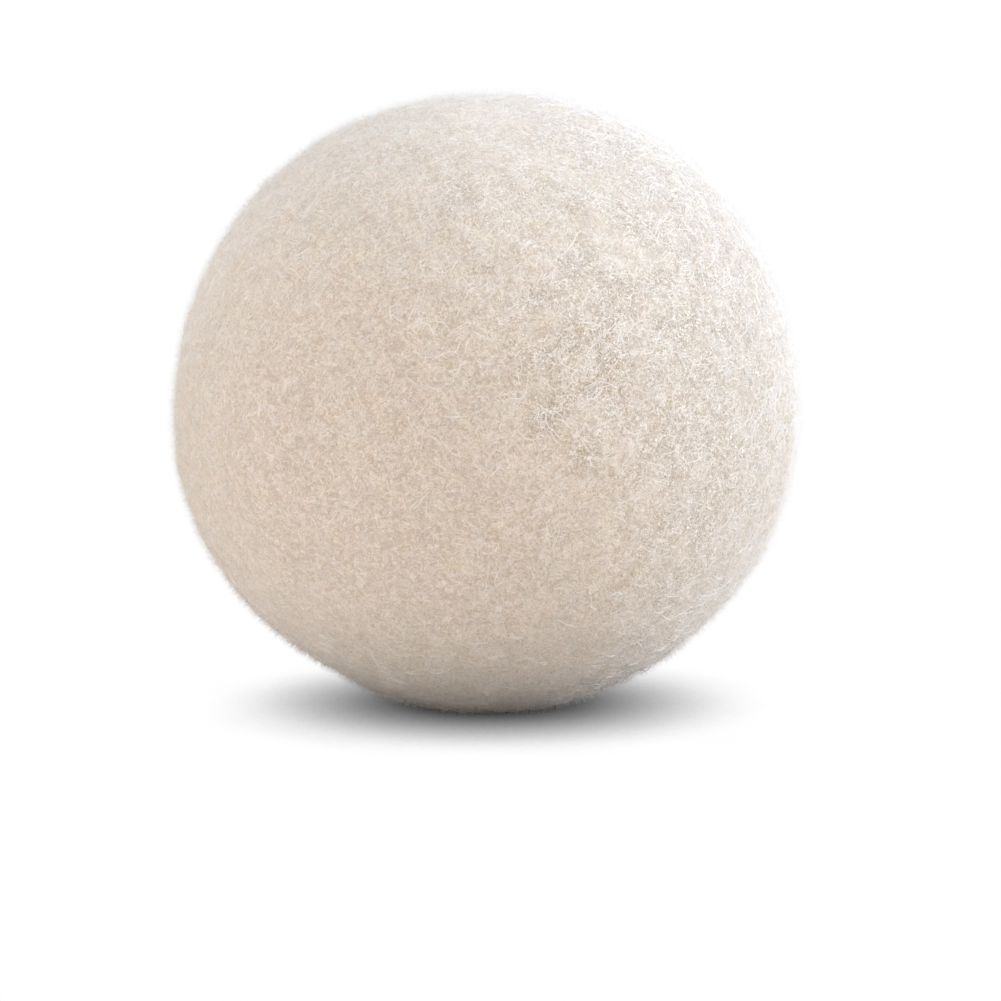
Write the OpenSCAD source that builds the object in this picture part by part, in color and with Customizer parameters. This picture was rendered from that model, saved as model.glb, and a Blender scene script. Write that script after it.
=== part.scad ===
// Felted wool dryer ball: a rolled core of carded wool, wrapped in layers of batt and closed by a fine wool cover.
// The origin is the middle of the patch that the ball rests on, with +Z up. Lengths are in millimetres.

/* [Ball] */
// Diameter at the widest level
ball_d = 70; // [56:1:100]
// How far the widest level has sagged below half the diameter
waist_sag = 2; // [0:0.1:4]
// How far the crown stands above half the diameter, measured from the widest level
crown_extra = 1; // [0:0.1:4]
// Diameter of the flat patch that the ball rests on
foot_d = 12; // [8:0.5:18]

/* [Layers] */
// Thickness of the fine wool cover
cover_t = 3.5; // [2:0.1:5]
// Thickness of the fourth wrap of batt, under the cover
fourth_wrap_t = 4.5; // [3:0.1:5]
// Thickness of the third wrap of batt
third_wrap_t = 5; // [3:0.1:6]
// Thickness of the second wrap of batt
second_wrap_t = 5; // [3:0.1:6]
// Thickness of the first wrap of batt, over the core
first_wrap_t = 5; // [3:0.1:6]

/* [Core] */
// Turns of carded strip from the middle of the core to its outside
core_turns = 4; // [3:1:5]
// Parting gap between the turns of the roll
roll_gap = 0.5; // [0.4:0.05:1]

/* [Hidden] */

// Radius at the widest level of each layer's outer face, from the outside in
ball_r = ball_d / 2;
fourth_wrap_r = ball_r - cover_t;
third_wrap_r = fourth_wrap_r - fourth_wrap_t;
second_wrap_r = third_wrap_r - third_wrap_t;
first_wrap_r = second_wrap_r - second_wrap_t;
core_r = first_wrap_r - first_wrap_t;

// The outline is a half ellipse above the widest level and a lower one below it, which the floor cuts at the foot
waist_h = ball_r - waist_sag;
crown_h = ball_r + crown_extra;
foot_angle = acos(foot_d / ball_d);
keel_h = waist_h / sin(foot_angle);

// Fineness of the outline and of the roll, in degrees
outline_step = 3;
roll_step = 15;
$fn = 96;

// The strip moves out by one pitch a turn, and ends where half its thickness still lies inside the core's lowest radius
roll_pitch = core_r / core_turns;
strip_t = roll_pitch - roll_gap;
core_low_r = core_r * min(keel_h, crown_h, ball_r) / ball_r;
roll_angle = 360 * (core_low_r - strip_t / 2 - roll_gap) / roll_pitch;

// Points of the right half of the outline, for a layer of radius r, from low_angle below the widest level to the crown
function lower_arc(r, low_angle) =
    let (steps = ceil(low_angle / outline_step))
    [for (i = [steps:-1:1]) let (a = low_angle * i / steps) r / ball_r * [ball_r * cos(a), -keel_h * sin(a)]];

function upper_arc(r) =
    let (steps = ceil(90 / outline_step))
    [for (i = [0:steps]) let (a = 90 * i / steps) r / ball_r * [ball_r * cos(a), crown_h * sin(a)]];

// A layer's closed outer form, the same shape at every size, centred on the widest level
module layer_form(r) {
    translate([0, 0, waist_h])
        rotate_extrude()
            polygon(concat(lower_arc(r, 90), upper_arc(r)));
}

// The whole ball's outer form, flat where it rests
module resting_form() {
    translate([0, 0, waist_h])
        rotate_extrude()
            polygon(concat([[0, -waist_h]], lower_arc(ball_r, foot_angle), upper_arc(ball_r)));
}

// A wrap of batt between two layer forms, felted face to face with its neighbours
module wrap(outer_r, inner_r) {
    difference() {
        layer_form(outer_r);
        layer_form(inner_r);
    }
}

// End view of the roll: a point on the strip at an angle along it, so far out from its inner edge
function roll_point(a, out) = (roll_gap + roll_pitch * a / 360 + out) * [cos(a), sin(a)];

module rolled_strip() {
    steps = floor(roll_angle / roll_step);
    outer_edge = [for (i = [steps:-1:0]) roll_point(roll_angle - roll_step * i, strip_t)];
    inner_edge = [for (i = [0:steps]) roll_point(roll_angle - roll_step * i, 0)];
    polygon(concat(outer_edge, inner_edge));
}

// End view of all that the roll takes up: the outer edge of its last turn, closed by the step at the strip's end
module roll_outline() {
    turn = 360 / roll_step;
    polygon([for (i = [turn:-1:0]) roll_point(roll_angle - roll_step * i, strip_t)]);
}

// The part of the core's form that an end view covers
module core_from() {
    intersection() {
        layer_form(core_r);
        translate([0, 0, waist_h])
            rotate([90, 0, 0])
                linear_extrude(height = 3 * core_r, center = true)
                    children();
    }
}

module core_roll() {
    color([0.74, 0.67, 0.57]) core_from() rolled_strip();
}

// The first wrap fills in round the strip's end
module first_wrap() {
    color([0.77, 0.70, 0.61])
        difference() {
            layer_form(first_wrap_r);
            core_from() roll_outline();
        }
}

module second_wrap() {
    color([0.79, 0.72, 0.64]) wrap(second_wrap_r, first_wrap_r);
}

module third_wrap() {
    color([0.81, 0.74, 0.66]) wrap(third_wrap_r, second_wrap_r);
}

module fourth_wrap() {
    color([0.83, 0.77, 0.69]) wrap(fourth_wrap_r, third_wrap_r);
}

module felt_cover() {
    color([0.88, 0.82, 0.75])
        difference() {
            resting_form();
            layer_form(fourth_wrap_r);
        }
}

core_roll();
first_wrap();
second_wrap();
third_wrap();
fourth_wrap();
felt_cover();
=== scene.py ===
# %% [markdown]
# A felted wool dryer ball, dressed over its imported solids. The solids give every size: the ball's width,
# its widest level, its crown, the patch it rests on and the layers inside. This script adds what felt
# really is: a lumpy matted surface, thousands of crimped fibres lying in it, and a thin haze of loose
# ends. The frame comes first, because every piece below rides on its one body and takes its sizes from
# its solids.

# %% load the frame
import bpy
import numpy as np
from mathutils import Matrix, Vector


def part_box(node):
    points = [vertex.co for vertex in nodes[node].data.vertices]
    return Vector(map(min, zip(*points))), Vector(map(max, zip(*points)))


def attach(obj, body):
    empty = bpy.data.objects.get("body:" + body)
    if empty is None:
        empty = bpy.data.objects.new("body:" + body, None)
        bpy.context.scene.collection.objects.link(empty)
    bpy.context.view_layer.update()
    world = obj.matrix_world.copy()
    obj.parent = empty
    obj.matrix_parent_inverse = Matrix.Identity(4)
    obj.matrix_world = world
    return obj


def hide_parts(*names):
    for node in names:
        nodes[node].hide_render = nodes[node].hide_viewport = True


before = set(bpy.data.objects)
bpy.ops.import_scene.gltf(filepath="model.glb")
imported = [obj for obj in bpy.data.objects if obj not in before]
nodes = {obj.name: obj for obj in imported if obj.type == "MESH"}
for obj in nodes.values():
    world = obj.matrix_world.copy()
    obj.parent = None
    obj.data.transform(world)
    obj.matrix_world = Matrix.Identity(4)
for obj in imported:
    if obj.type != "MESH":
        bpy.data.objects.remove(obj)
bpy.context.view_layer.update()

mm = 0.001
print("solids:", sorted(nodes))

# %% [markdown]
# The cover's solid is a body of revolution, so a few lengths say all about it. Its box gives the width
# and the height, but not how high the widest level is or how wide the patch is that the ball rests on.
# So they are read off the corners of its mesh. The keel is how far the lower half would go down if the
# patch didn't cut it off.

# %% measure the ball
layers = ("core_roll", "first_wrap", "second_wrap", "third_wrap", "fourth_wrap")
corner_slack = 0.01 * mm


def outline_of(node):
    """Distances from the ball's axis and heights of all corners of a solid."""
    mesh = nodes[node].data
    corners = np.empty(len(mesh.vertices) * 3)
    mesh.vertices.foreach_get("co", corners)
    corners = corners.reshape(-1, 3)
    return np.hypot(corners[:, 0], corners[:, 1]), corners[:, 2]


cover_reach, cover_height = outline_of("felt_cover")
ball_r = cover_reach.max()
waist_h = cover_height[cover_reach > ball_r - corner_slack].mean()
crown_h = cover_height.max() - waist_h
foot_r = cover_reach[cover_height < corner_slack].max()
keel_h = waist_h / np.sqrt(1 - (foot_r / ball_r) ** 2)
middle = np.array([0.0, 0.0, waist_h])
print(f"ball {2 * ball_r / mm:.1f} mm wide and {cover_height.max() / mm:.1f} mm high,",
      f"widest {waist_h / mm:.1f} mm up, resting on a patch {2 * foot_r / mm:.1f} mm wide")

layer_r = {name: (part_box(name)[1][1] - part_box(name)[0][1]) / 2 for name in layers}
print("layer radii in mm:", {name: round(r / mm, 2) for name, r in layer_r.items()})

# %% [markdown]
# Felt is never quite round: it has broad swells, lumps, dimples and pits where the wool shrank unevenly.
# They could be sculpted by hand, or pushed out by a displace modifier. Here each is a smooth random
# field, a sum of many waves that run in random directions. It has no seam anywhere, and it can be asked
# for its value at any point, so the fibres laid on the felt later follow the very same lumps.

# %% smooth random fields
wave_spread = (0.75, 1.35)


def unit(vectors):
    """The same directions at length 1."""
    return vectors / np.linalg.norm(vectors, axis=-1, keepdims=True)


def smooth_field(seed, wavelength, waves=40):
    """A function that gives a smooth random value, mostly between -2 and 2, at each point of an array."""
    chance = np.random.default_rng(seed)
    heading = unit(chance.normal(size=(waves, 3)))
    turns = heading * (2 * np.pi / (wavelength * chance.uniform(*wave_spread, waves)))[:, None]
    start = chance.uniform(0, 2 * np.pi, waves)
    size = np.sqrt(2 / waves)

    def value(points):
        return size * np.cos(points @ turns.T + start).sum(axis=-1)

    return value


def ramp(value, low, high):
    """0 below low, 1 above high, and a smooth step between."""
    share = np.clip((value - low) / (high - low), 0, 1)
    return share * share * (3 - 2 * share)


swells = smooth_field(seed=2909, wavelength=40 * mm)
lumps = smooth_field(seed=12, wavelength=9 * mm)
dimples = smooth_field(seed=13, wavelength=3.4 * mm)
pits = smooth_field(seed=14, wavelength=1.9 * mm)
print(f"swells at the crown: {swells(np.array([0.0, 0.0, ball_r])):.2f}")

# %% [markdown]
# The felt follows the solids' form: two half ellipsoids that meet at the widest level, cut flat where
# the ball rests. A modifier could shape one mesh so, but then only that mesh would know the surface. A
# function that says how far the felt goes in any direction serves the cover, the layers under it and
# every fibre on it alike. The ball's size is measured over its loose fibres, so the matted felt starts
# the haze's depth below it. Its lumps fade out towards the foot, which lies flat.

# %% the felt's surface
swell_h = 0.13 * mm
lump_h = 0.06 * mm
dimple_h = 0.04 * mm
pit_h = 0.03 * mm
haze_depth = 0.35 * mm
foot_fade = (-0.97, -0.85)
least_drop = 1e-6


def layer_reach(out, r):
    """How far a layer of that radius goes from the middle, in each unit direction out."""
    tall = np.where(out[..., 2] > 0, crown_h, keel_h)
    across = out[..., 0] ** 2 + out[..., 1] ** 2
    return r / ball_r / np.sqrt(across / ball_r ** 2 + (out[..., 2] / tall) ** 2)


def felt_reach(out):
    """How far the matted felt goes from the middle in each unit direction out, flat at its foot."""
    at = out * ball_r
    relief = swell_h * swells(at) + lump_h * lumps(at) + dimple_h * dimples(at) + pit_h * pits(at)
    free = ramp(out[..., 2], *foot_fade)
    flat = waist_h / np.maximum(-out[..., 2], least_drop)
    return np.minimum(layer_reach(out, ball_r) + (relief - haze_depth) * free, flat)


def felt_point(out, lift=0.0):
    """Points on the felt in the unit directions out, lifted off it, and never under the floor."""
    points = middle + out * (felt_reach(out) + lift)[..., None]
    points[..., 2] = np.maximum(points[..., 2], 0.0)
    return points


print(f"felt at the crown {felt_point(np.array([[0.0, 0.0, 1.0]]))[0, 2] / mm:.2f} mm up")

# %% [markdown]
# The cover's mesh starts as a cube whose six faces are cut into small squares and swollen onto a ball. A
# sphere of rings would be simpler, but it pinches its faces at the poles. The cube gives the felt the
# same grain all over, and each of its sides keeps its own square in the texture layout. Where sides
# meet, corners that agree to a millionth become one.

# %% a cube swollen to a ball
cube_sides = [((0, 1, 0), (0, 0, 1), (1, 0, 0)), ((0, -1, 0), (0, 0, 1), (-1, 0, 0)),
              ((-1, 0, 0), (0, 0, 1), (0, 1, 0)), ((1, 0, 0), (0, 0, 1), (0, -1, 0)),
              ((1, 0, 0), (0, 1, 0), (0, 0, 1)), ((1, 0, 0), (0, -1, 0), (0, 0, -1))]
weld_steps = 1e6


def swollen_cube(cells):
    """Unit directions, quads into them, and each quad corner's side with its place on it, right and up."""
    line = np.tan(np.linspace(-1, 1, cells + 1) * np.pi / 4)
    across, up = (grid[..., None] for grid in np.meshgrid(line, line, indexing="ij"))
    sides = [face + across * right + up * top for right, top, face in np.array(cube_sides)]
    out = unit(np.stack(sides).reshape(-1, 3))
    shape = (len(cube_sides), cells + 1, cells + 1)
    number = np.arange(np.prod(shape)).reshape(shape)
    loop = [number[:, :-1, :-1], number[:, 1:, :-1], number[:, 1:, 1:], number[:, :-1, 1:]]
    quads = np.stack(loop, axis=-1).reshape(-1, 4)
    side, row, column = np.unravel_index(quads, shape)
    corners = np.stack([side, row / cells, column / cells], axis=-1)
    places = np.round(out * weld_steps).astype(np.int64)
    _, first, same = np.unique(places, axis=0, return_index=True, return_inverse=True)
    return out[first], same.reshape(-1)[quads], corners


layer_cells = 48
cover_cells = 118
layer_cube = swollen_cube(layer_cells)
layer_out = layer_cube[0]
cover_cube = swollen_cube(cover_cells)
cover_out = cover_cube[0]
print(f"cubes of {len(layer_cube[1])} squares for a layer and {len(cover_cube[1])} for the cover")

# %% [markdown]
# Every piece below is made in the same way: a mesh from points and faces, a texture layout, smooth
# shading and a ride on the ball's one body. Blender's operators could do these one by one, but they
# depend on what is selected. Plain mesh data is quicker, and it gives the same result each time.

# %% make a piece
def make_piece(name, points, faces, layouts):
    """A smooth-shaded mesh piece on the ball's body, with texture layouts given corner by corner."""
    mesh = bpy.data.meshes.new(name)
    mesh.from_pydata(points.tolist(), [], faces.tolist())
    for layout, places in layouts.items():
        mesh.uv_layers.new(name=layout).data.foreach_set("uv", places.astype(np.float32).ravel())
    mesh.polygons.foreach_set("use_smooth", np.ones(len(mesh.polygons), bool))
    mesh.update()
    piece = bpy.data.objects.new(name, mesh)
    bpy.context.scene.collection.objects.link(piece)
    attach(piece, "root")
    print(f"{name}: {len(mesh.polygons)} faces")
    return piece


# %% [markdown]
# The ball is wound from the inside out, so its pieces are too. At the core a strip of carded wool is
# rolled up tight. The box of the solid doesn't tell the strip's sizes, so they follow from the core's
# radius, as they do in the solid. Four whole turns would fill that radius, and they lie a little apart.
# The strip stops earlier, where half its thickness still lies inside the core's lowest radius, so that
# its end isn't cut to slivers.

# %% the strip's sizes
core_turns = 4
roll_gap = 0.5 * mm
core_r = layer_r["core_roll"]
roll_pitch = core_r / core_turns
strip_t = roll_pitch - roll_gap
core_low_r = core_r * min(keel_h, crown_h, ball_r) / ball_r
roll_angle = 2 * np.pi * (core_low_r - strip_t / 2 - roll_gap) / roll_pitch
print(f"core strip {strip_t / mm:.2f} mm thick, {roll_angle / (2 * np.pi):.2f} turns")

# %% [markdown]
# A curve with a bevel could follow the spiral, but the core's round form cuts the strip off at its sides
# and on its outside. So the strip's mesh is a grid, one way along the spiral and the other across the
# strip, made once for its inner face and once for its outer one. Walls and ends close it. In the texture
# layout the faces lie one above the other, and each has a little less than half of the height.

# %% the core roll
steps_along = 180
steps_across = 25
strip_reach = 0.985
face_rows = (0.01, 0.51)
row_divisor = 4.2


def grid_quads(number):
    """Quads between neighbouring points of a grid of point numbers."""
    loop = [number[:-1, :-1], number[1:, :-1], number[1:, 1:], number[:-1, 1:]]
    return np.stack(loop, axis=-1).reshape(-1, 4)


def roll_core():
    """Points, quads and texture layout of the rolled strip."""
    turn = np.linspace(0, roll_angle, steps_along)[:, None]
    across = np.linspace(-strip_reach, strip_reach, steps_across)[None, :]
    tall = np.where(np.sin(turn) > 0, crown_h, keel_h) * core_r / ball_r
    round_form = 1 / np.hypot(np.cos(turn) / core_r, np.sin(turn) / tall)
    inner = roll_gap + roll_pitch * turn / (2 * np.pi)
    side = across * core_r * np.sqrt(1 - (inner / round_form) ** 2)
    outer = np.minimum(inner + strip_t, round_form * np.sqrt(1 - (side / core_r) ** 2))
    inner = np.broadcast_to(inner, outer.shape)
    faces = [np.stack([r * np.cos(turn), side, waist_h + r * np.sin(turn)], axis=-1) for r in (inner, outer)]
    low, high = np.arange(2 * outer.size).reshape(2, *outer.shape)
    rim = np.concatenate([low[:, 0], low[-1, 1:], low[-2::-1, -1], low[0, -2:0:-1], low[:1, 0]])
    wall = grid_quads(np.stack([rim, rim + outer.size]))
    quads = np.concatenate([grid_quads(low), grid_quads(high)[:, ::-1], wall])
    along = np.broadcast_to(turn / roll_angle, outer.shape)
    up = np.broadcast_to((across + 1) / row_divisor, outer.shape)
    places = np.concatenate([np.stack([along, up + row], axis=-1).reshape(-1, 2) for row in face_rows])
    return np.concatenate(faces).reshape(-1, 3), quads, places[quads]


core_points, core_quads, core_places = roll_core()
core = make_piece("wool_core", core_points, core_quads, {"OFBake": core_places})
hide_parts("core_roll")

# %% [markdown]
# Four wraps of batt are wound over the core, each across the one before. A wrap shows its winding: bands
# that go round the ball and overlap like shingles, each with a short lip at one edge and thinning out to
# the other. Each band could be a ribbon, but ribbons leave gaps under them, and real layers are felted
# face to face. So each boundary between two layers is one function of direction, which the outside of
# one and the inside of the next both use.

# %% boundaries between layers
band_w = 9 * mm
band_step = 0.3 * mm
band_lip = 0.15
band_level = 0.45
band_drift = 1.0 * mm
drift = smooth_field(seed=51, wavelength=15 * mm)
winding_axis = {"first_wrap": (1.0, 0.2, 0.1), "second_wrap": (0.1, 1.0, 0.3),
                "third_wrap": (0.4, -0.2, 1.0), "fourth_wrap": (-0.8, 0.7, 0.6)}
roll_clearance = 0.1 * mm
roll_margin = np.radians(4)
least_across = 1e-9


def wound_reach(out, wrap):
    """How far a wrap's outside goes from the middle in each unit direction out."""
    r = layer_r[wrap]
    across = r * np.arcsin(out @ unit(np.array(winding_axis[wrap]))) + band_drift * drift(out * r)
    shingle = across / band_w % 1
    stand = (1 - shingle) * ramp(shingle, 0.0, band_lip) - band_level
    return layer_reach(out, r) + band_step * stand


def roll_reach(out):
    """How far the rolled core goes from the middle in each unit direction out, and a little room."""
    across = np.maximum(np.hypot(out[:, 0], out[:, 2]), least_across)
    spiral = 0
    for near in (-roll_margin, 0, roll_margin):
        behind = (roll_angle - np.arctan2(out[:, 2], out[:, 0]) - near) % (2 * np.pi)
        spiral = np.maximum(spiral, roll_gap + roll_pitch * (roll_angle - behind) / (2 * np.pi) + strip_t)
    return np.minimum(layer_reach(out, core_r), spiral / across) + roll_clearance


core_room = roll_reach(layer_out)
print(f"the roll needs {core_room.min() / mm:.2f} to {core_room.max() / mm:.2f} mm from the middle")

# %% [markdown]
# A wrap and the cover are both closed shells, as orange peel is: an outer face, an inner face and wool
# between. A solidify modifier would give an even wall, but here each face follows its own boundary. Both
# faces are swollen cubes, the inner one turned inside out, and their twelve squares share one texture
# layout. Where the inner face has only a thin band of it, its six lie in one row.

# %% shells
square_margin = 0.01
thin_share = 0.3
thick_columns = 3


def layout_squares(corners, columns, low, high):
    """Puts the six sides' squares into a band of the layout from height low to high."""
    side = corners[..., 0]
    rows = len(cube_sides) // columns
    inset = square_margin + (1 - 2 * square_margin) * corners[..., 1:]
    right = (side % columns + inset[..., 0]) / columns
    up = (side // columns + inset[..., 1]) / rows
    return np.stack([right, low + (high - low) * up], axis=-1)


def make_shell(name, outer_cube, outer_points, inner_cube, inner_points, inner_share):
    """A closed shell between two swollen cubes. Its inner face has that share of the texture layout."""
    quads = np.concatenate([outer_cube[1], inner_cube[1][:, ::-1] + len(outer_points)])
    columns = len(cube_sides) if inner_share < thin_share else thick_columns
    places = np.concatenate([layout_squares(outer_cube[2], thick_columns, 0.0, 1 - inner_share),
                             layout_squares(inner_cube[2][:, ::-1], columns, 1 - inner_share, 1.0)])
    return make_piece(name, np.concatenate([outer_points, inner_points]), quads, {"OFBake": places})


# %% [markdown]
# The wraps are made in the order in which they are wound. The first lies on the roll, and each one's
# outside is the next one's inside. The cover hides them, so the coarser cube does for them.

# %% the wraps
inside = core_room
wraps = []
for wrap in winding_axis:
    outside = wound_reach(layer_out, wrap)
    shell = make_shell(f"batt_{wrap}", layer_cube, middle + layer_out * outside[:, None],
                       layer_cube, middle + layer_out * inside[:, None], inner_share=0.5)
    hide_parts(wrap)
    wraps.append(shell)
    print(f"{wrap}: {(outside - inside).min() / mm:.2f} to {(outside - inside).max() / mm:.2f} mm thick")
    inside = outside

# %% [markdown]
# The cover closes the ball: fine wool felted hard. Its outside has the lumps, and its inside lies on the
# last wrap. It is the face that is seen, so its cube is cut into squares of about half a millimetre,
# small enough to show the pits, and its outside has most of the texture layout.

# %% the cover
cover = make_shell("wool_cover", cover_cube, felt_point(cover_out),
                   layer_cube, middle + layer_out * inside[:, None], inner_share=0.16)
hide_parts("felt_cover")

# %% [markdown]
# The ball isn't equally rough all round. One side is matted smooth, and on the other its fibres stand
# out. Two materials could show that, but they would meet at an edge. Here one more smooth field says how
# rough the felt is in each direction. The cover keeps it as an attribute, one number a point, so its
# material can read the same field that the fibres below are laid by.

# %% rough and smooth sides
rough_side = np.array([0.85, 0.05, 0.15])
rough_spots = smooth_field(seed=31, wavelength=24 * mm)
rough_specks = smooth_field(seed=32, wavelength=6 * mm)
spot_share = 0.09
speck_share = 0.10
rough_range = (0.07, 0.62)


def roughness_at(out):
    """How rough the felt is in each unit direction: 0 is matted smooth and 1 has its fibres out."""
    at = out * ball_r
    uneven = spot_share * rough_spots(at) + speck_share * rough_specks(at)
    return ramp(out @ rough_side + uneven, *rough_range)


rough = cover.data.attributes.new("rough", "FLOAT", "POINT")
rough.data.foreach_set("value", np.concatenate([roughness_at(cover_out), roughness_at(layer_out)]))
print(f"mean roughness {roughness_at(cover_out).mean():.2f}")

# %% [markdown]
# Wool fibres are crimped: they wander, bend and loop as they lie in the felt. Blender's hair could be
# combed to look so, but a mesh is what other programs can read. Each strand here is a walk over the ball
# in small steps, whose heading turns a little at every step. All strands of a kind walk at the same
# time, as one array, so thousands take a moment.

# %% walking strands
start_tries = 4
lock_spread = 0.28 * mm
crimp_waves = (0.6, 1.6)
wander = 0.15


def strand_starts(chance, count, lock, where):
    """Unit directions in which strands start. Where, if given, says how likely a try is to be kept."""
    out = unit(chance.normal(size=(start_tries * count // lock, 3)))
    if where is not None:
        out = out[chance.uniform(size=len(out)) < where(out)]
    return np.repeat(out[:count // lock], lock, axis=0)


def levelled(ahead, out):
    """Headings turned level with the ball's surface in the directions out."""
    return unit(ahead - out * (ahead * out).sum(axis=1, keepdims=True))


def walk(chance, count, steps, length, bend, crimp, kink=0.0, lock=1, where=None):
    """Unit directions along each strand: an array of strands by steps by three.

    A strand turns steadily by up to about bend, in radians a metre, swings to and fro by crimp, and
    turns by up to about kink at one step. The strands of a lock start side by side and go the same
    way."""
    out = strand_starts(chance, count, lock, where)
    count = len(out)
    locks = count // lock
    ahead = unit(np.cross(out, np.repeat(chance.normal(size=(locks, 3)), lock, axis=0)))
    stride = chance.uniform(*length, count) / (steps - 1)
    steady = np.repeat(chance.normal(size=locks) * bend, lock)
    waves = np.repeat(chance.uniform(*crimp_waves, locks), lock)
    phase = np.repeat(chance.uniform(0, 2 * np.pi, locks), lock)
    kink_step = chance.integers(1, steps - 1, count)
    kink_turn = chance.normal(size=count) * kink
    if lock > 1:
        apart = chance.normal(size=(count, 2)) * lock_spread / ball_r
        out = unit(out + apart[:, :1] * np.cross(out, ahead) + apart[:, 1:] * ahead)
        ahead = levelled(ahead, out)
    path = [out]
    for step in range(1, steps):
        swing = crimp * np.sin(phase + 2 * np.pi * waves * step / (steps - 1))
        swing = swing + chance.normal(size=count) * wander
        turn = steady * stride + swing + np.where(kink_step == step, kink_turn, 0.0)
        ahead = ahead * np.cos(turn)[:, None] + np.cross(out, ahead) * np.sin(turn)[:, None]
        out = unit(out + ahead * (stride / ball_r)[:, None])
        ahead = levelled(ahead, out)
        path.append(out)
    return np.stack(path, axis=1)


# %% [markdown]
# A strand becomes a thin three-sided tube that closes to a point at both ends. A curve with a bevel
# makes such a tube too, but very many curves are slow to build. All tubes of a kind have the same number
# of rings, so the faces of one, counted on from tube to tube, are the faces of all.

# %% faces of the tubes
tube_sides = 3


def tube_faces(count, rings):
    """Triangles of closed tubes. A tube's corners are its rings' corners, and then its two tips."""
    each = rings * tube_sides + 2
    sides = np.arange(tube_sides)
    ring, side = np.meshgrid(np.arange(rings - 1), sides, indexing="ij")
    low = ring * tube_sides + side
    low_next = ring * tube_sides + (side + 1) % tube_sides
    high = low + tube_sides
    high_next = low_next + tube_sides
    lower = np.stack([low, high, high_next], axis=-1).reshape(-1, 3)
    upper = np.stack([low, high_next, low_next], axis=-1).reshape(-1, 3)
    next_sides = (sides + 1) % tube_sides
    last = (rings - 1) * tube_sides
    first_tip = np.stack([np.full(tube_sides, each - 2), sides, next_sides], axis=-1)
    last_tip = np.stack([np.full(tube_sides, each - 1), last + next_sides, last + sides], axis=-1)
    one = np.concatenate([lower, upper, first_tip, last_tip])
    return (one + np.arange(count)[:, None, None] * each).reshape(-1, 3)


# %% [markdown]
# Wool lets light through, so a real fibre has no dark side. Shading that light inside each fibre would
# be slow. Instead a tube is shaded partly by the direction out of the ball, as the felt below it is, and
# partly by its own normal. Its texture layout holds the strand's tone one way, with the tube's sides a
# hair apart, and the place along the strand the other way.

# %% tubes along the strands
spoke_angles = np.radians([90, 210, 330])
tip_girth = 0.05
side_step = 1 / 800


def strand_tubes(path, out, thick, tone, own_shade):
    """Points, triangles, texture layout and shading normals of closed tubes along the paths."""
    count, steps = path.shape[:2]
    rings = steps - 2
    along = unit(np.gradient(path, axis=1))
    aside = unit(np.cross(along, out))[:, 1:-1, None, :]
    above = np.cross(aside, along[:, 1:-1, None, :])
    spot = np.linspace(0, 1, steps)
    girth = thick[:, None] * np.sqrt(np.clip(1 - (2 * spot - 1) ** 4, tip_girth, 1))[None, :]
    spokes = np.cos(spoke_angles)[:, None] * aside + np.sin(spoke_angles)[:, None] * above
    corners = path[:, 1:-1, None, :] + girth[:, 1:-1, None, None] * spokes
    shade = out[:, 1:-1, None, :] + own_shade * spokes
    points = np.concatenate([corners.reshape(count, -1, 3), path[:, :1], path[:, -1:]], axis=1)
    normals = np.concatenate([shade.reshape(count, -1, 3), out[:, :1], out[:, -1:]], axis=1)
    faces = tube_faces(count, rings)
    places = np.empty((count, rings * tube_sides + 2, 2))
    aside_step = np.tile(np.arange(tube_sides), rings)[None, :] * side_step
    places[:, :-2, 0] = np.repeat(tone[:, 1:-1], tube_sides, axis=1) + aside_step
    places[:, :-2, 1] = np.repeat(spot[1:-1], tube_sides)[None, :]
    places[:, -2] = np.stack([tone[:, 0], np.zeros(count)], axis=-1)
    places[:, -1] = np.stack([tone[:, -1], np.ones(count)], axis=-1)
    return points.reshape(-1, 3), faces, places.reshape(-1, 2)[faces], normals.reshape(-1, 3)


# %% [markdown]
# A fibre is lit where it stands out and shaded where it is sunk among others. Shadows that fine take very
# many samples to render. So each strand's colour carries painted light and painted shade instead, from its
# height at each step and from how rough the felt is where it starts, with a little random tone of its own.
# The fibres cast no shadow and throw no light on each other.

# %% strands as a piece
tone_spread = 0.15
tone_ends = (0.01, 0.99)


def make_strands(name, seed, count, steps, lift, thick, smooth_tone, rough_tone, own_shade=1.0, **route):
    """A piece of strands on the felt. Lift gives their heights along the way, and the rest is their route.

    The tones are a strand's colours where it lies deepest, painted shade, and where it is highest, painted
    light, on smooth felt and on rough felt."""
    chance = np.random.default_rng(seed)
    out = walk(chance, count, steps, **route)
    heights = lift(chance, len(out), np.linspace(0, 1, steps))
    path = felt_point(out, heights)
    rough = roughness_at(out[:, :1])
    # Painted shade where a strand lies lowest and painted light where it is highest, more of both where the
    # felt is rough.
    deep_shade = smooth_tone[0] + (rough_tone[0] - smooth_tone[0]) * rough
    crest = smooth_tone[1] + (rough_tone[1] - smooth_tone[1]) * rough
    level = (heights - heights.min()) / (heights.max() - heights.min())
    level += chance.normal(size=(len(out), 1)) * tone_spread
    tone = np.clip(deep_shade + (crest - deep_shade) * level, *tone_ends)
    girth = chance.uniform(*thick, len(out))
    points, faces, places, normals = strand_tubes(path, out, girth, tone, own_shade)
    points[:, 2] = np.maximum(points[:, 2], 0.0)
    piece = make_piece(name, points, faces, {"strand": places, "OFBake": places})
    piece.data.normals_split_custom_set_from_vertices(normals)
    piece.visible_shadow = False
    piece.visible_diffuse = False
    return piece


# %% [markdown]
# Fibres differ in how they lie: some arch over the felt with both ends in it, some go in and out of it
# in loops, and some have come loose at one end. Each way is a function that makes another function,
# which gives the heights of strands along their length. So a kind of fibre below only names its way and
# its sizes.

# %% ways to lie in the felt
arch_round = 0.6
loop_turns = (0.4, 1.2)
loop_tops = (0.3, 1.0)
end_curve = 1.2


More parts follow.
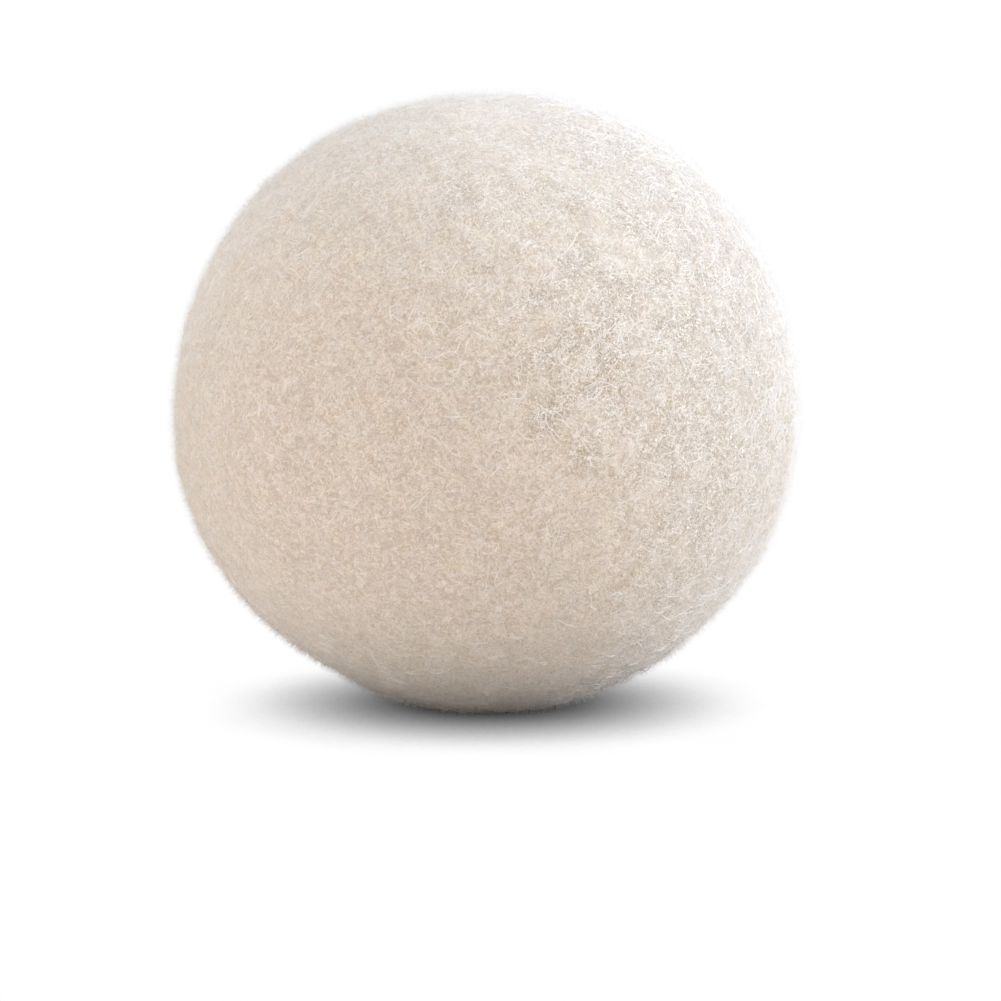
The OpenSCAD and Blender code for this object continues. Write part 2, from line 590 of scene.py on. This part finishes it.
def arch(sink, rise):
    """Heights of strands whose ends are sunk in the felt and whose middles rise by a chance amount."""
    def heights(chance, count, spot):
        crest = chance.uniform(*rise, count)
        return -sink + (sink + crest)[:, None] * np.sin(np.pi * spot)[None, :] ** arch_round
    return heights


def looping(low, high):
    """Heights of strands that go up and down between two heights."""
    def heights(chance, count, spot):
        turns = chance.uniform(*loop_turns, (count, 1))
        start = chance.uniform(0, 1, (count, 1))
        top = low + (high - low) * chance.uniform(*loop_tops, (count, 1))
        return low + (top - low) * (0.5 - 0.5 * np.cos(2 * np.pi * (start + turns * spot)))
    return heights


def free_end(sink, stand):
    """Heights of strands that start in the felt and stand free at the other end."""
    def heights(chance, count, spot):
        return -sink + chance.uniform(*stand, count)[:, None] * spot[None, :] ** end_curve
    return heights


# %% [markdown]
# Five kinds of strand make the felt. The first are the matted ones, which lie flat in it all over, bent
# and tangled, and hardly rise above it. A bump in the felt's material could hint at them, but then they
# couldn't cross over each other. Each is as thick as two or three wool fibres together, because single
# ones would be too fine to show.

# %% matted fibres
fibres = [make_strands(
    "matted_fibres", seed=21, count=8000, steps=6, lift=arch(sink=0.05 * mm, rise=(0.0, 0.06 * mm)),
    thick=(0.024 * mm, 0.042 * mm), smooth_tone=(0.35, 0.55), rough_tone=(0.2, 0.7),
    length=(0.8 * mm, 2.2 * mm), bend=1200, crimp=0.4)]

# %% [markdown]
# Curls are the crimp of the wool itself: short strands that bend hard and stand out of the felt in small
# loops. They give the ball its woolly grain all over, and on the rough side they run from darker to
# paler. There are five pieces of them, because a piece of fewer than 200,000 triangles is exported
# whole.

# %% curls
curl_pieces = 5
# The curls' tones run from painted shade where they dip into the felt to painted light at their tops, wider
# on the rough side.
for number in range(curl_pieces):
    fibres.append(make_strands(
        f"curls_{number + 1}", seed=41 + number, count=8000, steps=6,
        lift=looping(low=-0.05 * mm, high=0.36 * mm), thick=(0.028 * mm, 0.045 * mm),
        smooth_tone=(0.25, 0.85), rough_tone=(0.1, 1.50),
        length=(0.5 * mm, 1.6 * mm), bend=1500, crimp=0.5))

# %% [markdown]
# Fibres that cling together make locks, longer and straighter than curls, which show as pale threads.
# Here a lock is two strands that start side by side and go the same way. They crowd the rough side and
# lie in clumps, so one more smooth field says where.

# %% locks
clumps = smooth_field(seed=33, wavelength=6 * mm)
clump_range = (-1.2, 0.6)
smooth_crowd = 0.38
gap_crowd = 0.35


def crowded(out):
    """How likely a lock is to lie in each direction: more so where the felt is rough, and in clumps."""
    by_roughness = smooth_crowd + (1 - smooth_crowd) * roughness_at(out)
    by_clump = gap_crowd + (1 - gap_crowd) * ramp(clumps(out * ball_r), *clump_range)
    return by_roughness * by_clump


lock_pieces = 2
for number in range(lock_pieces):
    fibres.append(make_strands(
        f"locks_{number + 1}", seed=31 + number, count=4000, steps=10,
        lift=looping(low=0.0, high=0.40 * mm), thick=(0.036 * mm, 0.056 * mm),
        smooth_tone=(0.40, 1.10), rough_tone=(0.35, 1.40),
        length=(1.6 * mm, 3.8 * mm), bend=450, crimp=0.3, lock=2, where=crowded))

# %% [markdown]
# A few coarse, straighter hairs lie over the felt where it is roughest. They hardly bend, apart from a
# kink, as guard hairs in a fleece do, and they are pale and the thickest of all. They could be placed
# one by one, but a rule for where they are likely keeps them on the felt at any size.

# %% stray fibres
stray_power = 3


def roughest(out):
    """How likely a stray is to lie in each direction: hardly at all where the felt is smooth."""
    return roughness_at(out) ** stray_power


fibres.append(make_strands(
    "stray_fibres", seed=24, count=520, steps=12, lift=arch(sink=0.06 * mm, rise=(0.3 * mm, 0.6 * mm)),
    thick=(0.050 * mm, 0.075 * mm), smooth_tone=(0.75, 0.95), rough_tone=(0.80, 0.99),
    length=(1.4 * mm, 4.0 * mm), bend=120, crimp=0.1, kink=0.7, where=roughest))

# %% [markdown]
# Fine loose ends stand up from the felt all over. Each can hardly be seen by itself, but together they
# are the haze that softens the ball's outline. A see-through shell could stand for them, but it would
# show its own edge. They stand up, so they are shaded mostly by their own normals. Their near-white colour
# is partly the pale wool and partly painted light, for the light that shines through them from behind.

# %% loose ends
loose_pieces = 6
for number in range(loose_pieces):
    fibres.append(make_strands(
        f"loose_ends_{number + 1}", seed=61 + number, count=33000, steps=3,
        lift=free_end(sink=0.06 * mm, stand=(0.2 * mm, 1.25 * mm)), thick=(0.007 * mm, 0.010 * mm),
        smooth_tone=(0.90, 0.99), rough_tone=(0.90, 0.99), own_shade=3.0,
        length=(0.2 * mm, 0.7 * mm), bend=900, crimp=0.4))
print(f"{sum(len(piece.data.polygons) for piece in fibres)} triangles of fibre in {len(fibres)} pieces")

# %% [markdown]
# Materials are built from nodes. Nodes could be drawn by hand in Blender's editor, and in a script each
# takes several lines. So a few small helpers add a node and set or link its inputs, work out a value
# from two others, mix two colours, and open a node group with named sockets.

# %% node helpers
def add(tree, kind, inputs=None, **settings):
    """Adds a node: settings are its own properties, and inputs are values to set or outputs to link."""
    made = tree.nodes.new(kind)
    for name, value in settings.items():
        setattr(made, name, value)
    for socket, value in (inputs or {}).items():
        if isinstance(value, bpy.types.NodeSocket):
            tree.links.new(value, made.inputs[socket])
        else:
            made.inputs[socket].default_value = value
    return made


def worked_out(tree, operation, first, second, use_clamp=False):
    """The result of a calculation with two values or outputs."""
    values = {0: first, 1: second}
    return add(tree, "ShaderNodeMath", values, operation=operation, use_clamp=use_clamp).outputs[0]


def mixed(tree, factor, first, second, blend_type="MIX"):
    """A colour that goes from first to second; each is a colour or an output."""
    colours = {socket: colour if isinstance(colour, bpy.types.NodeSocket) else (*colour, 1)
               for socket, colour in ((6, first), (7, second))}
    inputs = {"Factor": factor, **colours}
    return add(tree, "ShaderNodeMix", inputs, data_type="RGBA", blend_type=blend_type).outputs[2]


def new_group(name, inputs, output):
    """An empty shader node group with its sockets, and its two end nodes."""
    tree = bpy.data.node_groups.new(name, "ShaderNodeTree")
    for socket, kind, value in inputs:
        made = tree.interface.new_socket(socket, in_out="INPUT", socket_type=kind)
        if value is not None:
            made.default_value = value
    tree.interface.new_socket(output[0], in_out="OUTPUT", socket_type=output[1])
    return tree, tree.nodes.new("NodeGroupInput"), tree.nodes.new("NodeGroupOutput")


# %% [markdown]
# Between the fibres laid as meshes are many more, too fine to model. They could be drawn as a picture,
# but a picture has seams on a ball. Noise bent by its own distortion looks like such curly fibres, and
# it fills space, so it meets itself all round. Every felt uses it at two scales, so it is a node group.

# %% felt grain group
felt_grain, given, result = new_group(
    "felt_grain",
    [("Vector", "NodeSocketVector", None), ("Scale", "NodeSocketFloat", 2600.0),
     ("Curl", "NodeSocketFloat", 3.0)],
    ("Grain", "NodeSocketFloat"))
noise = add(felt_grain, "ShaderNodeTexNoise",
            {"Vector": given.outputs["Vector"], "Scale": given.outputs["Scale"], "Detail": 1.0,
             "Distortion": given.outputs["Curl"]})
clear = add(felt_grain, "ShaderNodeMapRange",
            {"Value": noise.outputs[0], "From Min": 0.33, "From Max": 0.67, "To Min": -1.0, "To Max": 1.0},
            interpolation_type="SMOOTHSTEP")
felt_grain.links.new(clear.outputs[0], result.inputs["Grain"])
print(f"{felt_grain.name}: {len(felt_grain.nodes)} nodes")

# %% [markdown]
# Wool isn't one colour: fleece from many places on a sheep is carded together, and it shows as soft
# blotches. They could be painted on the mesh's points, but such paint is only as fine as the mesh. This
# group gives the blotches' mask, from 0 to 1, at any scale. It is noise with more detail than the grain,
# and without its curl.

# %% mottle group
wool_mottle, given, result = new_group(
    "wool_mottle",
    [("Vector", "NodeSocketVector", None), ("Scale", "NodeSocketFloat", 120.0)],
    ("Shade", "NodeSocketFloat"))
noise = add(wool_mottle, "ShaderNodeTexNoise",
            {"Vector": given.outputs["Vector"], "Scale": given.outputs["Scale"], "Detail": 3.0,
             "Roughness": 0.6})
clear = add(wool_mottle, "ShaderNodeMapRange",
            {"Value": noise.outputs[0], "From Min": 0.32, "From Max": 0.68}, interpolation_type="SMOOTHSTEP")
wool_mottle.links.new(clear.outputs[0], result.inputs["Shade"])
print(f"{wool_mottle.name}: {len(wool_mottle.nodes)} nodes")

# %% [markdown]
# The blotches are faintly yellow, pink, blue and grey. Each tint is pale and has its own scale, so that
# the four don't fall together in a pattern. The group puts out one colour, and each wool multiplies its
# own by it, so felt and the fibres on it have about the same tint.

# %% tint group
blotches = ((430.0, (1.02, 0.98, 0.78)), (520.0, (1.05, 0.97, 1.02)), (610.0, (0.95, 0.99, 1.06)),
            (300.0, (0.90, 0.89, 0.88)))
blotch_strength = 0.6
wool_tint, given, result = new_group(
    "wool_tint", [("Vector", "NodeSocketVector", None)], ("Tint", "NodeSocketColor"))
tint = (1, 1, 1)
for scale, shade in blotches:
    mask = add(wool_tint, "ShaderNodeGroup", {"Vector": given.outputs["Vector"], "Scale": scale},
               node_tree=wool_mottle).outputs[0]
    tint = mixed(wool_tint, worked_out(wool_tint, "MULTIPLY", mask, blotch_strength), tint, shade)
wool_tint.links.new(tint, result.inputs["Tint"])
print(f"{wool_tint.name}: {len(wool_tint.nodes)} nodes")

# %% [markdown]
# All the wool shines alike: a dull gloss, and a soft sheen from the many fibres that catch light at the
# edge. Blender's Sheen shader gives only the second, so this is the Principled one, which has both.
# Felts and fibres start from it, and only their colour, their bump and how much sheen they have differ.

# %% wool shader
def wool_shader(name, sheen):
    """A new material with wool's dull gloss and soft sheen, with its tree and its shader."""
    material = bpy.data.materials.new(name)
    material.use_nodes = True
    tree = material.node_tree
    shader = tree.nodes["Principled BSDF"]
    shader.inputs["Roughness"].default_value = 0.75
    shader.inputs["Specular IOR Level"].default_value = 0.5
    shader.inputs["Sheen Weight"].default_value = sheen
    shader.inputs["Sheen Roughness"].default_value = 0.5
    return material, tree, shader


def tinted(tree, place, colour):
    """The colour with the wool's own faint tints."""
    tints = add(tree, "ShaderNodeGroup", {"Vector": place}, node_tree=wool_tint)
    return mixed(tree, 1.0, colour, tints.outputs[0], blend_type="MULTIPLY")


# %% [markdown]
# Felt shows fine and coarse grain. Its colour has painted light, pale where a fibre comes up, and painted
# shade, darker between. Colour alone would look printed on, so the same grain drives a bump, and lamps pick
# it out.
# A rough place has more grain than a smooth one, and more painted shade between its fibres. The cover, the
# batt and the core are the same felt in three creams, the inner ones a little darker.

# %% felt material
# Painted light on the grain's tops, painted shade in its hollows, and more painted shade between fibres
# where the felt is rough.
painted_light_cream = (1.0, 0.97, 0.93)
painted_shade_brown = (0.40, 0.31, 0.23)
rough_painted_shade = (0.84, 0.80, 0.76)


def grained(tree, place, rough, scale, curl, smooth_share, rough_share):
    """Curly grain, from -1 to 1, times one share where the felt is smooth and another where it is rough."""
    values = {"Vector": place, "Scale": scale, "Curl": curl}
    grain = add(tree, "ShaderNodeGroup", values, node_tree=felt_grain)
    shown = add(tree, "ShaderNodeMapRange", {"Value": rough, "To Min": smooth_share, "To Max": rough_share})
    return worked_out(tree, "MULTIPLY", grain.outputs[0], shown.outputs[0])


def felt_material(name, wool, sheen):
    """Matted wool, softly tinted, with fine and coarse grain: painted light on top, painted shade between.
    """
    material, tree, shader = wool_shader(name, sheen)
    place = add(tree, "ShaderNodeTexCoord").outputs["Object"]
    rough = add(tree, "ShaderNodeAttribute", attribute_name="rough").outputs["Fac"]
    fine = grained(tree, place, rough, scale=2600.0, curl=3.0, smooth_share=0.34, rough_share=0.72)
    coarse = grained(tree, place, rough, scale=1100.0, curl=1.8, smooth_share=0.26, rough_share=0.38)
    height = worked_out(tree, "ADD", fine, coarse)
    deep_shade = tuple(part * left for part, left in zip(wool, rough_painted_shade))
    colour = tinted(tree, place, mixed(tree, rough, wool, deep_shade))
    # Painted light where the grain rises and painted shade where it sinks.
    colour = mixed(tree, worked_out(tree, "MAXIMUM", height, 0.0), colour, painted_light_cream)
    colour = mixed(tree, worked_out(tree, "MULTIPLY", height, -1.0, use_clamp=True), colour, painted_shade_brown)
    tree.links.new(colour, shader.inputs["Base Color"])
    bump = add(tree, "ShaderNodeBump", {"Strength": 0.6, "Distance": 0.05 * mm, "Height": height})
    tree.links.new(bump.outputs[0], shader.inputs["Normal"])
    print(f"{name}: {len(tree.nodes)} nodes")
    return material


cover_cream = (0.705, 0.61, 0.52)
batt_cream = (0.66, 0.57, 0.46)
core_cream = (0.60, 0.51, 0.41)
cover.data.materials.append(felt_material("cover_felt", cover_cream, sheen=0.6))
core.data.materials.append(felt_material("core_felt", core_cream, sheen=0.2))
batt_felt = felt_material("batt_felt", batt_cream, sheen=0.2)
for shell in wraps:
    shell.data.materials.append(batt_felt)

# %% [markdown]
# A fibre's colour goes from brown where it is sunk, through the felt's own cream, to nearly white where
# it stands out: painted shade low down and painted light on top. Each strand could have a material of its
# own, but its tone is in its texture layout already. So one material serves all fibres: a colour ramp reads
# the tone, and the wool's tints go over it.

# %% fibre material
# From painted shade, brown, through the felt's own cream, to painted light, nearly white.
shade_to_light_tones = [(0.0, (0.43, 0.345, 0.26)), (0.35, cover_cream),
               (0.7, (0.83, 0.76, 0.69)), (1.0, (0.92, 0.90, 0.88))]


def fibre_material(name, tones, sheen):
    """Wool fibres: the first number of a strand's layout is its tone, which picks its colour."""
    material, tree, shader = wool_shader(name, sheen)
    strand = add(tree, "ShaderNodeUVMap", uv_map="strand").outputs[0]
    tone = add(tree, "ShaderNodeSeparateXYZ", {0: strand}).outputs[0]
    picked = add(tree, "ShaderNodeValToRGB", {0: tone})
    stops = picked.color_ramp.elements
    for stop, (at, colour) in zip((stops[0], stops[1]), (tones[0], tones[-1])):
        stop.position = at
        stop.color = (*colour, 1)
    for at, colour in tones[1:-1]:
        stops.new(at).color = (*colour, 1)
    place = add(tree, "ShaderNodeTexCoord").outputs["Object"]
    tree.links.new(tinted(tree, place, picked.outputs[0]), shader.inputs["Base Color"])
    print(f"{name}: {len(tree.nodes)} nodes")
    return material


fibre_wool = fibre_material("fibre_wool", shade_to_light_tones, sheen=0.6)
for piece in fibres:
    piece.data.materials.append(fibre_wool)

# %% [markdown]
# The ball stands on a plain white floor in front of white. A floor lit by the lamps would show a shadow
# of the ball for each of them. So this floor glows by itself, dimmed by how much of its sky the ball
# covers, which gives one soft shadow under it. A wide disc is enough for it, because nothing on it
# stands out but that shadow.

# %% floor
floor_r = 4.0
floor_sides = 96
turn = np.linspace(0, 2 * np.pi, floor_sides, endpoint=False)
floor_rim = floor_r * np.stack([np.cos(turn), np.sin(turn), np.zeros(floor_sides)], axis=-1)
floor_mesh = bpy.data.meshes.new("floor")
floor_mesh.from_pydata(floor_rim.tolist(), [], [list(range(floor_sides))])
floor = bpy.data.objects.new("floor", floor_mesh)
bpy.context.scene.collection.objects.link(floor)
print(f"{floor.name}: {2 * floor_r:.0f} m wide")

# %% [markdown]
# To know who is looking, a material asks Light Path. Rays from the camera, and those that a shiny or
# clear thing sends on, see the floor as white. All others gather light for the ball, and to them the
# floor is warm and has a level of its own. The world behind asks the same question, so a helper places
# those nodes in both.

# %% floor paint
warm = (1.0, 0.935, 0.87)
sky_reach = 0.5
sky_samples = 16
sky_power = 1.35
floor_white = 2.3
floor_bounce = 1.38


def seen_directly(tree):
    """1 for a ray from the camera, or from a gloss or through glass, and 0 for one that gathers light."""
    rays = add(tree, "ShaderNodeLightPath").outputs
    seen = worked_out(tree, "MAXIMUM", rays["Is Camera Ray"], rays["Is Glossy Ray"])
    return worked_out(tree, "MAXIMUM", seen, rays["Is Transmission Ray"])


floor_paint = bpy.data.materials.new("floor_paint")
floor_paint.use_nodes = True
tree = floor_paint.node_tree
tree.nodes.clear()
seen = seen_directly(tree)
sky = add(tree, "ShaderNodeAmbientOcclusion", {"Distance": sky_reach}, samples=sky_samples).outputs["AO"]
sky = worked_out(tree, "POWER", sky, sky_power)
shown = worked_out(tree, "MULTIPLY", sky, floor_white, use_clamp=True)
bounced = worked_out(tree, "MULTIPLY", sky, floor_bounce)
glow = add(tree, "ShaderNodeMix", {"Factor": seen, "A": bounced, "B": shown}, data_type="FLOAT").outputs[0]
light = add(tree, "ShaderNodeEmission", {"Color": mixed(tree, seen, warm, (1, 1, 1)), "Strength": glow})
add(tree, "ShaderNodeOutputMaterial", {"Surface": light.outputs[0]})
floor.data.materials.append(floor_paint)
print(f"{floor_paint.name}: {len(tree.nodes)} nodes")

# %% [markdown]
# A pale room gives a faint warm light from all round, which fills the shadows between lamps. The camera
# should see plain white behind the ball instead, so the world has two backgrounds and picks one by the
# kind of ray.

# %% world
room_level = 0.21
world = bpy.data.worlds.new("studio")
bpy.context.scene.world = world
world.use_nodes = True
tree = world.node_tree
tree.nodes.clear()
around = add(tree, "ShaderNodeBackground", {"Color": (*warm, 1), "Strength": room_level})
behind = add(tree, "ShaderNodeBackground", {"Color": (1, 1, 1, 1), "Strength": 1.0})
both = add(tree, "ShaderNodeMixShader", {0: seen_directly(tree), 1: around.outputs[0], 2: behind.outputs[0]})
add(tree, "ShaderNodeOutputWorld", {"Surface": both.outputs[0]})
print(f"{world.name}: {len(tree.nodes)} nodes")

# %% [markdown]
# Soft studio light models the ball: a cool lamp on the right, a wide cool one above, a very weak one at
# the right front and a weaker warm one high on the left. Small lamps would give each lump a hard shadow,
# so all are large squares. Their levels are given on a white card at the ball's place, so that the
# wool's colours come out about as they are written.

# %% lamps
cool = (0.82, 0.915, 1.02)


def softbox(name, place, size, level, colour):
    """A square lamp aimed at the ball. Level is how bright it makes a white card that faces it there."""
    lamp = bpy.data.lights.new(name, "AREA")
    lamp.size = size
    lamp.color = colour
    sight = Vector(middle) - Vector(place)
    lamp.energy = level * (np.pi * sight.length) ** 2
    holder = bpy.data.objects.new(name, lamp)
    holder.location = place
    holder.rotation_euler = sight.to_track_quat("-Z", "Y").to_euler()
    bpy.context.scene.collection.objects.link(holder)
    print(f"{name} lamp: {lamp.energy:.2f} W from {sight.length:.2f} m")


softbox("key", place=(0.60, 0.00, 0.30), size=0.30, level=0.82, colour=cool)
softbox("right", place=(0.60, -0.35, 0.13), size=0.24, level=0.05, colour=cool)
softbox("top", place=(0.05, 0.05, 0.70), size=0.60, level=0.77, colour=cool)
softbox("high_left", place=(-0.55, -0.45, 0.45), size=0.30, level=0.31, colour=warm)

# %% [markdown]
# The camera stands in front, looks down by a few degrees, and has a long lens, as for a product picture.
# A ball's outline is where the lines of sight just touch it, so its width in the picture gives the
# camera's distance. The ball stands a little left of the picture's middle and well above it, so the
# camera is aimed to the right of the ball and below it, which keeps the lens unshifted for the other
# views.

# %% camera
lens = 100.0
sensor = 36.0
picture_px = 1001
ball_px = 624
aim_right_px = 15
aim_below_px = 100
camera_tilt = np.radians(4.0)
seen_middle = Vector((0.0, 0.0, float(waist_h + (crown_h - keel_h) / 2)))
spread = sensor / lens * ball_px / picture_px / 2
away = ball_r * np.sqrt(1 + 1 / spread ** 2)
eye = seen_middle + Vector((0.0, -np.cos(camera_tilt), np.sin(camera_tilt))) * away
pixel = 2 * ball_r / ball_px
aim = seen_middle + Vector((aim_right_px * pixel, 0.0, -aim_below_px * pixel / np.cos(camera_tilt)))
camera_data = bpy.data.cameras.new("camera")
camera_data.lens = lens
camera_data.sensor_width = sensor
camera = bpy.data.objects.new("camera", camera_data)
camera.location = eye
camera.rotation_euler = (aim - eye).to_track_quat("-Z", "Y").to_euler()
bpy.context.scene.collection.objects.link(camera)
bpy.context.scene.camera = camera
bpy.context.scene.view_settings.view_transform = "Standard"
print(f"camera {away / mm:.0f} mm from the ball's middle")
